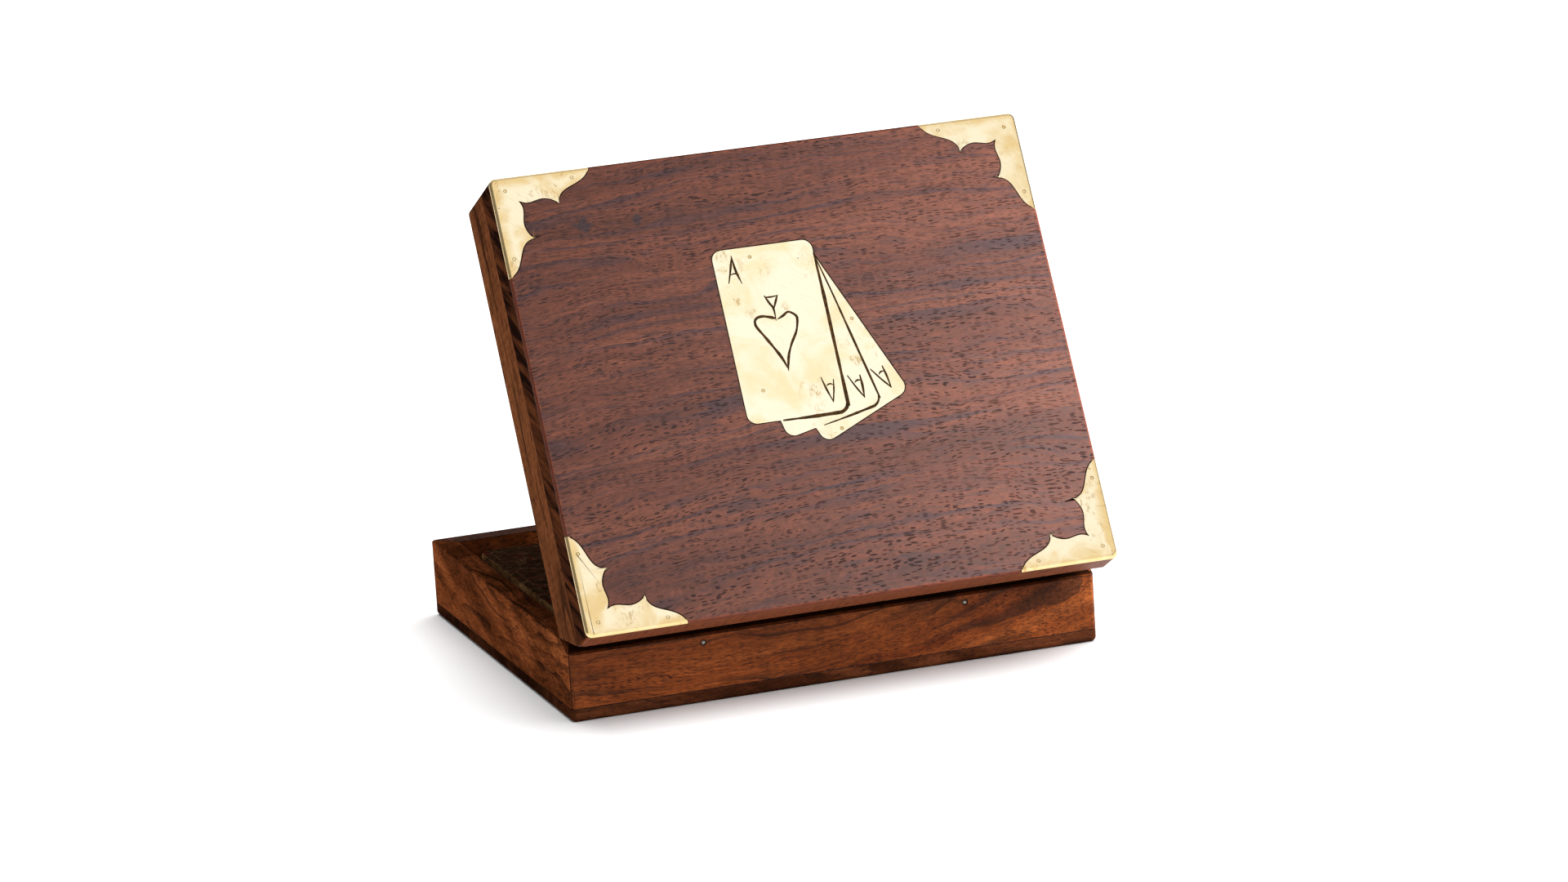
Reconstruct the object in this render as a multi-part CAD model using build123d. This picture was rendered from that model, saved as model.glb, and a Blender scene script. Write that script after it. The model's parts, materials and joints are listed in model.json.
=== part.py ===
from build123d import *
import os

# A hinged hardwood box for two decks of playing cards. The origin is the centre of the base's underside, +X runs
# along the hinge, +Y from the hinge edge to the opening edge, and +Z is up. Everything is built with the lid closed;
# the lid's pieces are then turned about the hinge line to the stored, partly open position. Millimetres.

# Driving dimensions
WIDTH = 165.0
DEPTH = 140.0
BASE_HEIGHT = 24.0
LID_HEIGHT = 28.0
BOTTOM_BOARD = 4.0
TOP_BOARD = 10.5
WALL = 7.0
HINGE_WALL = 15.0
OPEN_ANGLE = 61.5
RIM_GAP = 0.3

# Eased edges
BASE_CORNER_RADIUS = 1.6
LID_CORNER_RADIUS = 2.0
BOTTOM_ROUND = 1.5
TOP_EASE = 0.7
RIM_EASE = 0.4

# Hinge line and the relief bevels beside it
HINGE_INSET = 7.5
BASE_RELIEF_DROP = 3.5

# Butt hinges
HINGE_SPACING = 82.0
LEAF_LENGTH = 26.0
LEAF_THICKNESS = 0.8
LEAF_REACH = 7.0
BARREL_RADIUS = 1.5
BARREL_ROOM = 0.45
KNUCKLES = 5
KNUCKLE_GAP = 0.2
PIN_RADIUS = 0.6
PIN_CLEARANCE = 0.05
SCREW_HEAD_RADIUS = 1.4
SCREW_RADIUS = 0.7
SCREW_LENGTH = 7.0
SCREW_SPACING = 16.0

# Card wells, deck and linings
DIVIDER = 6.0
DIVIDER_HEIGHT = 15.0
DICE_CHANNEL = 15.0
FELT = 0.8
CARD_WIDTH = 63.0
CARD_LENGTH = 88.0
CARD_CORNER = 3.5
DECK_THICKNESS = 16.2

# Brass inlays
BRASS = 1.2
ACE_WIDTH = 31.7
ACE_LENGTH = 54.0
ACE_ROUND = 3.2
ACE_CORNER = (10.7, 39.5)
ACE_PIVOT = (11.0, 34.4)
ACE_TURNS = (0.0, 12.3, 23.6)
INLAY_TIP = (30.7, 0.4)
INLAY_SHOULDER = [(28.8, 3.0), (25.2, 4.9), (21.6, 6.6)]
INLAY_CUSP = (19.7, 10.4)
INLAY_HOLLOW = [(17.4, 8.6), (14.8, 8.0), (11.4, 8.6)]
INLAY_NOTCH = (8.0, 8.0)
INLAY_PIN_RADIUS = 0.5
INLAY_PIN_LENGTH = 4.0
INLAY_PINS = ((4.2, 4.2), (25.0, 2.6), (2.6, 25.0))
PLATE_PINS = ((-9.2, 36.2), (-14.2, -4.6), (17.6, 13.4), (7.0, -19.2))

# Brads through the face of the base's hinge rail
BRAD_RADIUS = 0.8
BRAD_LENGTH = 10.0
BRAD_DEPTH = 2.3

HALF_W, HALF_D = WIDTH / 2, DEPTH / 2
RIM = BASE_HEIGHT - RIM_GAP / 2
MOUTH = BASE_HEIGHT + RIM_GAP / 2
LID_TOP = BASE_HEIGHT + LID_HEIGHT
BOARD_UNDERSIDE = LID_TOP - TOP_BOARD
HINGE_Y = -HALF_D + HINGE_INSET
INNER_X = HALF_W - WALL
INNER_NEAR = -HALF_D + HINGE_WALL
INNER_FAR = HALF_D - WALL
DICE_FAR = INNER_NEAR + DICE_CHANNEL
WELL_NEAR = DICE_FAR + DIVIDER
FLOOR = BOTTOM_BOARD + FELT
HINGE_X = (-HINGE_SPACING / 2, HINGE_SPACING / 2)
HINGE_LINE = Axis((0, HINGE_Y, BASE_HEIGHT), (1, 0, 0))


def block(low, high):
    """An axis-aligned block between two opposite corners."""
    size = [b - a for a, b in zip(low, high)]
    middle = [(a + b) / 2 for a, b in zip(low, high)]
    return Pos(*middle) * Box(*size)


def prism(points, low, high):
    """A closed outline of corner points in plan, raised from low to high."""
    return Pos(0, 0, low) * extrude(make_face(Polyline(*points, close=True)), high - low)


def bar(profile, half_length):
    """A closed outline of (y, z) corner points, drawn out along X to both sides."""
    face = make_face(Polyline(*[(0, y, z) for y, z in profile], close=True))
    return extrude(face, half_length, dir=(1, 0, 0), both=True)


def rod(start, axis, radius, length):
    """A round rod that starts at a point and runs along an axis."""
    return Plane(origin=start, z_dir=axis) * Cylinder(radius, length, align=(Align.CENTER, Align.CENTER, Align.MIN))


def base_envelope():
    """The base's outside shape: eased corners and rim, rounded foot, and the relief bevel along the hinge edge."""
    body = Pos(0, 0, RIM / 2) * Box(WIDTH, DEPTH, RIM)
    body = fillet(body.edges().filter_by(Axis.Z), BASE_CORNER_RADIUS)
    body = fillet(body.faces().sort_by(Axis.Z)[0].edges(), BOTTOM_ROUND)
    body = chamfer(body.faces().sort_by(Axis.Z)[-1].edges(), RIM_EASE)
    relief = [(HINGE_Y, BASE_HEIGHT), (-HALF_D, BASE_HEIGHT - BASE_RELIEF_DROP)]
    relief += [(-HALF_D - 1, BASE_HEIGHT - BASE_RELIEF_DROP), (-HALF_D - 1, BASE_HEIGHT)]
    return body - bar(relief, WIDTH)


def lid_envelope():
    """The lid's outside shape: eased corners and top edge, and the long bevel under the top board's hinge edge."""
    body = Pos(0, 0, (MOUTH + LID_TOP) / 2) * Box(WIDTH, DEPTH, LID_TOP - MOUTH)
    body = fillet(body.edges().filter_by(Axis.Z), LID_CORNER_RADIUS)
    body = chamfer(body.faces().sort_by(Axis.Z)[-1].edges(), TOP_EASE)
    relief = [(HINGE_Y, BASE_HEIGHT), (-HALF_D, BOARD_UNDERSIDE), (-HALF_D - 1, BOARD_UNDERSIDE)]
    relief += [(-HALF_D - 1, BASE_HEIGHT)]
    return body - bar(relief, WIDTH)


def mitred_rails(low, high):
    """Four rails between two heights, meeting in mitres that run from outer corner to inner corner."""
    outer = [(-HALF_W, -HALF_D), (HALF_W, -HALF_D), (HALF_W, HALF_D), (-HALF_W, HALF_D)]
    inner = [(-INNER_X, INNER_NEAR), (INNER_X, INNER_NEAR), (INNER_X, INNER_FAR), (-INNER_X, INNER_FAR)]
    sides = ["hinge_rail", "right_rail", "front_rail", "left_rail"]
    rails = {}
    for i, side in enumerate(sides):
        j = (i + 1) % 4
        rails[side] = prism([outer[i], outer[j], inner[j], inner[i]], low, high)
    return rails


def leaf_pocket(x, low, high):
    """The shallow mortise that a hinge leaf lies in."""
    return block((x - LEAF_LENGTH / 2, HINGE_Y, low), (x + LEAF_LENGTH / 2, HINGE_Y + LEAF_REACH, high))


def barrel_pocket(x):
    """The round mortise that leaves room for a hinge barrel to turn."""
    length = LEAF_LENGTH + 2 * BARREL_ROOM
    return rod((x - length / 2, HINGE_Y, BASE_HEIGHT), (1, 0, 0), BARREL_RADIUS + BARREL_ROOM, length)


def screw(x, sign):
    """A countersunk screw, head flush with its leaf. sign is -1 for the base's leaf and +1 for the lid's."""
    y = HINGE_Y + BARREL_RADIUS + BARREL_ROOM + (LEAF_REACH - BARREL_RADIUS - BARREL_ROOM) / 2
    face = BASE_HEIGHT + sign * RIM_GAP / 2
    down = Plane(origin=(x, y, face), z_dir=(0, 0, sign))
    cone_height = SCREW_HEAD_RADIUS - SCREW_RADIUS
    base_first = (Align.CENTER, Align.CENTER, Align.MIN)
    head = down * Cone(SCREW_HEAD_RADIUS, SCREW_RADIUS, cone_height, align=base_first)
    return head + down * Cylinder(SCREW_RADIUS, SCREW_LENGTH, align=base_first)


def hinge_screws(sign):
    """The screws of both hinges' leaves on one side."""
    places = [x + side * SCREW_SPACING / 2 for x in HINGE_X for side in (-1, 1)]
    return [screw(x, sign) for x in places]


def hinge_leaf(x, sign):
    """One leaf with its knuckles. The base's leaf has the first, middle and last knuckle, the lid's the others."""
    face = BASE_HEIGHT + sign * RIM_GAP / 2
    back = face + sign * LEAF_THICKNESS
    low, high = sorted((face, back))
    plate = block((x - LEAF_LENGTH / 2, HINGE_Y, low), (x + LEAF_LENGTH / 2, HINGE_Y + LEAF_REACH, high))
    pitch = LEAF_LENGTH / KNUCKLES
    whole = rod((x - LEAF_LENGTH / 2, HINGE_Y, BASE_HEIGHT), (1, 0, 0), BARREL_RADIUS, LEAF_LENGTH)
    leaf = plate + whole
    room = BARREL_RADIUS + BARREL_ROOM
    for i in range(KNUCKLES):
        if (i % 2 == 0) == (sign < 0):
            continue
        start = x - LEAF_LENGTH / 2 + i * pitch - (KNUCKLE_GAP / 2 if i else 1)
        stop = x - LEAF_LENGTH / 2 + (i + 1) * pitch + (KNUCKLE_GAP / 2 if i < KNUCKLES - 1 else 1)
        leaf -= rod((start, HINGE_Y, BASE_HEIGHT), (1, 0, 0), room, stop - start)
    leaf -= rod((x - LEAF_LENGTH, HINGE_Y, BASE_HEIGHT), (1, 0, 0), PIN_RADIUS + PIN_CLEARANCE, 2 * LEAF_LENGTH)
    for s in hinge_screws(sign):
        leaf -= s
    return leaf


def hinge_pin(x):
    """The pin through a barrel, a little longer than its knuckles."""
    length = LEAF_LENGTH + BARREL_ROOM
    return rod((x - length / 2, HINGE_Y, BASE_HEIGHT), (1, 0, 0), PIN_RADIUS, length)


def rail_brads():
    """Two brads driven into the outer face of the base's hinge rail, heads flush."""
    z = BASE_HEIGHT - BASE_RELIEF_DROP - BRAD_DEPTH
    return [rod((x, -HALF_D, z), (0, 1, 0), BRAD_RADIUS, BRAD_LENGTH) for x in HINGE_X]


def corner_inlay_blank(x_sign, y_sign):
    """The slab that a corner inlay is cut from. One arm is drawn along +X from an outer corner at the origin, closed
    along the diagonal and mirrored about it, and the whole is then turned to its corner of the closed lid's top."""
    overrun = -1.0
    arm = [
        Line((overrun, overrun), (INLAY_TIP[0], overrun)),
        Line((INLAY_TIP[0], overrun), INLAY_TIP),
        Spline(INLAY_TIP, *INLAY_SHOULDER, INLAY_CUSP),
        Spline(INLAY_CUSP, *INLAY_HOLLOW, INLAY_NOTCH),
        Line(INLAY_NOTCH, (overrun, overrun)),
    ]
    half = extrude(make_face(arm), BRASS)
    slab = half + mirror(half, about=Plane(origin=(0, 0, 0), z_dir=(1, -1, 0)))
    turn = {(-1, -1): 0, (1, -1): 90, (1, 1): 180, (-1, 1): 270}[(x_sign, y_sign)]
    return Pos(x_sign * HALF_W, y_sign * HALF_D, LID_TOP - BRASS) * Rot(0, 0, turn) * slab


def aces_blank():
    """Three fanned cards in one plate, turned about a point on the first card's right edge, near its upper corner."""
    px, py = ACE_PIVOT
    card = extrude(RectangleRounded(ACE_WIDTH, ACE_LENGTH, ACE_ROUND), BRASS)
    card = Pos(ACE_CORNER[0] - px - ACE_WIDTH / 2, ACE_CORNER[1] - py - ACE_LENGTH / 2, 0) * card
    plate = None
    for turn in ACE_TURNS:
        placed = Pos(px, py, LID_TOP - BRASS) * Rot(0, 0, turn) * card
        plate = placed if plate is None else plate + placed
    return plate


def inlay_pins():
    """Fine pins that hold the brass down, flush with its face."""
    places = list(PLATE_PINS)
    for x_sign in (-1, 1):
        for y_sign in (-1, 1):
            places += [(x_sign * (HALF_W - x), y_sign * (HALF_D - y)) for x, y in INLAY_PINS]
    return [rod((x, y, LID_TOP), (0, 0, -1), INLAY_PIN_RADIUS, INLAY_PIN_LENGTH) for x, y in places]


def without(solid, others):
    for other in others:
        solid -= other
    return solid


def base_nodes():
    """The base: board and rails, dividers, linings and the deck in the left-hand well."""
    envelope = base_envelope()
    nodes = {}
    board = block((-HALF_W, -HALF_D, 0), (HALF_W, HALF_D, BOTTOM_BOARD))
    nodes["base_bottom_board"] = board & envelope
    for side, rail in mitred_rails(BOTTOM_BOARD, RIM).items():
        nodes["base_" + side] = rail & envelope
    cuts = [leaf_pocket(x, RIM - LEAF_THICKNESS, RIM) for x in HINGE_X]
    cuts += [barrel_pocket(x) for x in HINGE_X]
    cuts += hinge_screws(-1) + rail_brads()
    nodes["base_hinge_rail"] = without(nodes["base_hinge_rail"], cuts)

    top = BOTTOM_BOARD + DIVIDER_HEIGHT
    nodes["dice_divider"] = block((-INNER_X, DICE_FAR, BOTTOM_BOARD), (INNER_X, WELL_NEAR, top))
    nodes["well_divider"] = block((-DIVIDER / 2, WELL_NEAR, BOTTOM_BOARD), (DIVIDER / 2, INNER_FAR, top))
    nodes["left_well_lining"] = block((-INNER_X, WELL_NEAR, BOTTOM_BOARD), (-DIVIDER / 2, INNER_FAR, FLOOR))
    nodes["right_well_lining"] = block((DIVIDER / 2, WELL_NEAR, BOTTOM_BOARD), (INNER_X, INNER_FAR, FLOOR))
    nodes["dice_channel_lining"] = block((-INNER_X, INNER_NEAR, BOTTOM_BOARD), (INNER_X, DICE_FAR, FLOOR))

    deck = extrude(RectangleRounded(CARD_WIDTH, CARD_LENGTH, CARD_CORNER), DECK_THICKNESS)
    middle_x = -(INNER_X + DIVIDER / 2) / 2
    middle_y = (WELL_NEAR + INNER_FAR) / 2
    nodes["card_deck"] = Pos(middle_x, middle_y, FLOOR) * deck
    return nodes


def lid_nodes():
    """The lid, closed: board and rails, lining, brass inlays and their pins."""
    envelope = lid_envelope()
    corners = {"left_near": (-1, -1), "right_near": (1, -1), "right_far": (1, 1), "left_far": (-1, 1)}
    blanks = {name: corner_inlay_blank(*signs) for name, signs in corners.items()}
    aces = aces_blank()
    pins = inlay_pins()
    nodes = {}
    board = block((-HALF_W, -HALF_D, BOARD_UNDERSIDE), (HALF_W, HALF_D, LID_TOP)) & envelope
    nodes["lid_top_board"] = without(board, list(blanks.values()) + [aces] + pins)
    for side, rail in mitred_rails(MOUTH, BOARD_UNDERSIDE).items():
        nodes["lid_" + side] = rail & envelope
    cuts = [leaf_pocket(x, MOUTH, MOUTH + LEAF_THICKNESS) for x in HINGE_X]
    cuts += [barrel_pocket(x) for x in HINGE_X]
    cuts += hinge_screws(1)
    nodes["lid_hinge_rail"] = without(nodes["lid_hinge_rail"], cuts)
    nodes["lid_lining"] = block((-INNER_X, INNER_NEAR, BOARD_UNDERSIDE - FELT), (INNER_X, INNER_FAR, BOARD_UNDERSIDE))
    for name, blank in blanks.items():
        nodes["corner_inlay_" + name] = without(blank & envelope, pins)
    nodes["aces_plate"] = without(aces, pins)
    nodes["inlay_pins"] = Compound(pins)
    nodes["lid_hinge_screws"] = Compound(hinge_screws(1))
    for side, x in zip(("left", "right"), HINGE_X):
        nodes[side + "_hinge_lid_leaf"] = hinge_leaf(x, 1)
    return nodes


def hinge_base_nodes():
    """The hinge pieces that stay with the base, and the brads in its hinge rail."""
    nodes = {}
    for side, x in zip(("left", "right"), HINGE_X):
        nodes[side + "_hinge_base_leaf"] = hinge_leaf(x, -1)
        nodes[side + "_hinge_pin"] = hinge_pin(x)
    nodes["base_hinge_screws"] = Compound(hinge_screws(-1))
    nodes["hinge_rail_brads"] = Compound(rail_brads())
    return nodes


os.makedirs("parts", exist_ok=True)
assembly = {**base_nodes(), **hinge_base_nodes()}
for name, shape in lid_nodes().items():
    assembly[name] = shape.rotate(HINGE_LINE, OPEN_ANGLE)
for name, shape in assembly.items():
    export_step(shape, f"parts/{name}.step")
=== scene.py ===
import json
import math
import random

import bmesh
import bpy
from mathutils import Matrix, Vector, noise


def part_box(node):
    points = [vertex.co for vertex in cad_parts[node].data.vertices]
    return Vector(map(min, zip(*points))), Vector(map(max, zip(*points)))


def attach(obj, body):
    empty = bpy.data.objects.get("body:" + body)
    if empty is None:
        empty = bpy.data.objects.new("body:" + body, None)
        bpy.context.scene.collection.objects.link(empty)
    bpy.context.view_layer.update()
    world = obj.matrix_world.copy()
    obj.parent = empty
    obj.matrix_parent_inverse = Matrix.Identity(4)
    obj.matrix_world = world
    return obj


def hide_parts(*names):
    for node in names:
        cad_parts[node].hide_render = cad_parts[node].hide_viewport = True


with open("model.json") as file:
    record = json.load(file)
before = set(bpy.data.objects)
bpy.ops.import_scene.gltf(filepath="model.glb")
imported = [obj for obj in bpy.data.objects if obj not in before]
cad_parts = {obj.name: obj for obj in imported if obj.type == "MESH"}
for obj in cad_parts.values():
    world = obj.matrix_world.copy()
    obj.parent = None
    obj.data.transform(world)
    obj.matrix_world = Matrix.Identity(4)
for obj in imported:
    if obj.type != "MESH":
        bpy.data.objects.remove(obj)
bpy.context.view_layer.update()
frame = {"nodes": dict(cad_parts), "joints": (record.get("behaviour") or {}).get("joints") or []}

MM = 0.001
SAME_PLACE = 3e-6  # metres: closer vertices of a CAD mesh are one
SAME_FACE = math.radians(0.5)  # faces that meet at less are one
LID_HINGE = next(j for j in frame["joints"] if j["name"] == "lid_hinge")
HINGE = Vector(LID_HINGE["pos_m"])
# The lid is stored part open. SHUT takes its pieces to the closed box, where they are made and textured.
# AJAR takes them back.
SHUT = (
    Matrix.Translation(HINGE)
    @ Matrix.Rotation(math.radians(LID_HINGE["range_deg"][0]), 4, "X")
    @ Matrix.Translation(-HINGE)
)
AJAR = SHUT.inverted()
STILL = Matrix.Identity(4)
ALONG_Y = Matrix.Rotation(math.radians(-90), 4, "Z")
HALF_W, HALF_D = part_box("base_bottom_board")[1].xy
LID_TOP = max((SHUT @ v.co).z for v in frame["nodes"]["lid_top_board"].data.vertices) / MM

# Each lamp lights one of these.
LIT_WOOD = bpy.data.collections.new("lit_wood")
SHINY_BRASS = bpy.data.collections.new("shiny_brass")
LID_BOARD = bpy.data.collections.new("lid_board")
FLOOR_ONLY = bpy.data.collections.new("floor_only")
LID_BOARD.objects.link(frame["nodes"]["lid_top_board"])


# ---------------------------------------------------------------- camera, light, floor

LENS_MM, SENSOR_MM = 143.86, 36.0
CAMERA_PLACE = (-0.58235, -1.75047, 0.50539)  # metres
YAW_PITCH_ROLL = (18.737, 13.635, -3.629)  # degrees: to the right of +Y, downwards, and about the view
BRIGHT_SIDE = Vector((0.32, -0.84, 0.34)).normalized()
# From how far round to the bright side the light rises, and its least and its greatest strength.
GLOW = {"From Min": 0.05, "From Max": 0.97, "To Min": 0.20, "To Max": 1.25}
FLOOR_REACH = 6.0  # metres


def make_camera():
    data = bpy.data.cameras.new("camera")
    data.lens, data.sensor_width = LENS_MM, SENSOR_MM
    data.clip_start, data.clip_end = 0.05, 50.0
    yaw, pitch, roll = (math.radians(a) for a in YAW_PITCH_ROLL)
    forward = Vector((math.sin(yaw) * math.cos(pitch), math.cos(yaw) * math.cos(pitch), -math.sin(pitch)))
    right = Vector((math.cos(yaw), -math.sin(yaw), 0))
    up = right.cross(forward)
    across = math.cos(roll) * right + math.sin(roll) * up
    upward = -math.sin(roll) * right + math.cos(roll) * up
    camera = bpy.data.objects.new("camera", data)
    bpy.context.scene.collection.objects.link(camera)
    turned = Matrix((across, upward, -forward)).transposed().to_4x4()
    camera.matrix_world = Matrix.Translation(CAMERA_PLACE) @ turned
    bpy.context.scene.camera = camera


def make_world():
    """A white studio: a broad bright side at the front right, dimmer elsewhere."""
    world = bpy.data.worlds.new("studio")
    bpy.context.scene.world = world
    world.use_nodes = True
    tree = world.node_tree
    direction = tree.nodes.new("ShaderNodeTexCoord").outputs["Generated"]
    facing = tree.nodes.new("ShaderNodeVectorMath")
    facing.operation = "DOT_PRODUCT"
    facing.inputs[1].default_value = BRIGHT_SIDE
    tree.links.new(direction, facing.inputs[0])
    glow = tree.nodes.new("ShaderNodeMapRange")
    glow.interpolation_type = "SMOOTHSTEP"
    for name, value in GLOW.items():
        glow.inputs[name].default_value = value
    tree.links.new(facing.outputs["Value"], glow.inputs["Value"])
    tree.nodes["Background"].inputs["Color"].default_value = (1, 1, 1, 1)
    tree.links.new(glow.outputs["Result"], tree.nodes["Background"].inputs["Strength"])
    view = bpy.context.scene.view_settings
    view.view_transform, view.look = "Standard", "None"


def area_light(name, place, target, size, watts, lit):
    """A lamp that lights one collection alone. Places and sizes are in metres."""
    data = bpy.data.lights.new(name, "AREA")
    data.shape, data.size, data.size_y = "RECTANGLE", size[0], size[1]
    data.energy = watts
    lamp = bpy.data.objects.new(name, data)
    bpy.context.scene.collection.objects.link(lamp)
    lamp.location = place
    lamp.rotation_mode = "QUATERNION"
    lamp.rotation_quaternion = (Vector(target) - Vector(place)).to_track_quat("-Z", "Y")
    lamp.light_linking.receiver_collection = lit
    return lamp


def make_lamps():
    """A near light on the wood, a sheen on the lid board, another on the brass, and the floor's own light."""
    near = area_light("near_right", (0.30, -0.225, 0.185), (0.03, -0.08, 0.07), (0.16, 0.16), 4.1, LIT_WOOD)
    near.visible_glossy = False
    sheen = area_light("lid_sheen", (0.27, -0.34, 0.29), (0.07, -0.11, 0.09), (0.16, 0.16), 3.2, LID_BOARD)
    sheen.visible_diffuse = False
    behind = area_light("brass_back_glow", (0, 2.6, 2.0), (0, 0, 0.1), (5.0, 3.5), 45.0, SHINY_BRASS)
    behind.visible_diffuse = False
    area_light("floor_light", (1.6, 0.0, 4.0), (0, 0.1, 0), (7.0, 7.0), 470.0, FLOOR_ONLY)


def make_floor():
    mesh = bpy.data.meshes.new("floor")
    corners = [(x * FLOOR_REACH, y * FLOOR_REACH, 0) for x, y in ((-1, -1), (1, -1), (1, 1), (-1, 1))]
    mesh.from_pydata(corners, [], [(0, 1, 2, 3)])
    floor = bpy.data.objects.new("floor", mesh)
    bpy.context.scene.collection.objects.link(floor)
    mesh.materials.append(Look("floor_white").surface((0.95, 0.95, 0.95, 1), 0.8, specular=0.1))
    FLOOR_ONLY.objects.link(floor)


# ---------------------------------------------------------------- material building

class Look:
    """One material's node tree. An input given as a socket is linked. Anything else is set as its value."""

    def __init__(self, name):
        self.material = bpy.data.materials.new(name)
        self.material.use_nodes = True
        self.tree = self.material.node_tree
        self.tree.nodes.clear()

    def node(self, kind, inputs, **settings):
        made = self.tree.nodes.new("ShaderNode" + kind)
        for key, value in settings.items():
            setattr(made, key, value)
        for key, value in inputs.items():
            if isinstance(value, bpy.types.NodeSocket):
                self.tree.links.new(value, made.inputs[key])
            else:
                made.inputs[key].default_value = value
        return made

    def place(self, matrix):
        """Object coordinates taken through a matrix, in millimetres."""
        coordinates = self.node("TexCoord", {}).outputs["Object"]
        return self.mapped(coordinates, (1 / MM, 1 / MM, 1 / MM), matrix.to_euler(), matrix.translation / MM)

    def mapped(self, vector, scale=(1, 1, 1), rotation=(0, 0, 0), location=(0, 0, 0)):
        inputs = {"Vector": vector, "Scale": scale, "Rotation": rotation, "Location": location}
        return self.node("Mapping", inputs).outputs["Vector"]

    def math(self, operation, a, b=0.0):
        return self.node("Math", {0: a, 1: b}, operation=operation).outputs[0]

    def times(self, first, *others):
        for other in others:
            first = self.math("MULTIPLY", first, other)
        return first

    def plus(self, a, b):
        return self.math("ADD", a, b)

    def minus(self, a, b):
        return self.math("SUBTRACT", a, b)

    def absolute(self, a):
        return self.math("ABSOLUTE", a)

    def vector(self, operation, a, b=(0, 0, 0)):
        made = self.node("VectorMath", {0: a, 1: b}, operation=operation)
        return made.outputs["Value" if operation in ("LENGTH", "DISTANCE") else "Vector"]

    def scaled(self, colour, factor):
        return self.node("VectorMath", {0: colour, "Scale": factor}, operation="SCALE").outputs["Vector"]

    def split(self, vector):
        return self.node("SeparateXYZ", {0: vector}).outputs

    def joined(self, x, y, z):
        return self.node("CombineXYZ", {0: x, 1: y, 2: z}).outputs[0]

    def noise(self, vector, scale, detail, roughness=0.5, distortion=0.0, seed=0.0, output="Fac"):
        """Noise whose cells are 1/scale millimetres. Each seed looks at another part of it."""
        moved = self.mapped(vector, scale, location=(seed * 17.3, seed * 7.9, seed * 3.1))
        inputs = {"Vector": moved, "Scale": 1.0, "Detail": detail}
        inputs.update({"Roughness": roughness, "Distortion": distortion})
        return self.node("TexNoise", inputs).outputs[output]

    def cells(self, vector, scale, seed):
        """A random colour for the nearest of a set of scattered points, and the distance to it."""
        moved = self.mapped(vector, scale, location=(seed * 11.7, seed * 5.3, seed * 23.9))
        found = self.node("TexVoronoi", {"Vector": moved, "Scale": 1.0}).outputs
        return found["Color"], found["Distance"]

    def flecks(self, vector, scale, size, share, seed):
        """Crisp spots, 1 inside and 0 outside, in a share of cells of 1/scale millimetres."""
        colour, distance = self.cells(vector, scale, seed)
        kept = self.math("LESS_THAN", self.split(colour)[0], share)
        return self.times(self.ranged(distance, 0.65 * size, size, 1, 0), kept)

    def blots(self, vector, places, seed):
        """Ragged round blots at (x, y, radius) places, 1 inside and 0 outside."""
        rough = self.noise(vector, (0.55, 0.55, 0.55), 4, 0.65, 1.0, seed)
        ragged = self.spread(rough, -0.55, 0.55)
        level = self.vector("MULTIPLY", vector, (1, 1, 0))
        total = 0.0
        for x, y, radius in places:
            away = self.math("DIVIDE", self.vector("DISTANCE", level, (x, y, 0)), radius)
            total = self.math("MAXIMUM", total, self.ranged(self.plus(away, ragged), 0.55, 1.0, 1, 0))
        return total

    def ranged(self, value, low, high, out_low=0.0, out_high=1.0, smooth=True):
        inputs = {"Value": value, "From Min": low, "From Max": high, "To Min": out_low, "To Max": out_high}
        kind = "SMOOTHSTEP" if smooth else "LINEAR"
        return self.node("MapRange", inputs, interpolation_type=kind).outputs["Result"]

    def spread(self, cloud, low, high, smooth=False):
        """A noise's usual values, 0.3 to 0.7, taken to low and high."""
        return self.ranged(cloud, 0.3, 0.7, low, high, smooth)

    def ramp(self, factor, stops):
        made = self.node("ValToRGB", {"Fac": factor})
        elements = made.color_ramp.elements
        while len(elements) < len(stops):
            elements.new(0.5)
        for element, (position, colour) in zip(elements, stops):
            element.position, element.color = position, (*colour, 1)
        return made.outputs["Color"]

    def mix(self, factor, a, b):
        made = self.node("Mix", {0: factor}, data_type="RGBA")
        for socket, value in ((made.inputs[6], a), (made.inputs[7], b)):
            if isinstance(value, bpy.types.NodeSocket):
                self.tree.links.new(value, socket)
            else:
                socket.default_value = (*value[:3], 1)
        return made.outputs[2]

    def bump(self, height, distance, strength):
        inputs = {"Height": height, "Distance": distance, "Strength": strength}
        return self.node("Bump", inputs).outputs["Normal"]

    def inset(self, vector, half_x, half_y):
        """How far inside the sides of a rectangle about the origin a place is."""
        x, y, _ = self.split(vector)
        return self.math("MINIMUM", self.minus(half_x, self.absolute(x)),
                         self.minus(half_y, self.absolute(y)))

    def wander(self, vector, scale, detail, seed, reach):
        """Smooth random offsets, up to half of reach each way."""
        cloud = self.noise(vector, scale, detail, 0.5, 0, seed, "Color")
        return self.vector("MULTIPLY", self.vector("SUBTRACT", cloud, (0.5, 0.5, 0.5)), reach)

    def surface(self, colour, roughness, normal=None, metallic=0.0, specular=0.5, sheen=0.0):
        inputs = {"Base Color": colour, "Roughness": roughness, "Metallic": metallic}
        inputs.update({"Specular IOR Level": specular, "Sheen Weight": sheen})
        if normal is not None:
            inputs["Normal"] = normal
        shader = self.node("BsdfPrincipled", inputs)
        output = self.node("OutputMaterial", {})
        self.tree.links.new(shader.outputs[0], output.inputs["Surface"])
        return self.material


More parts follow.
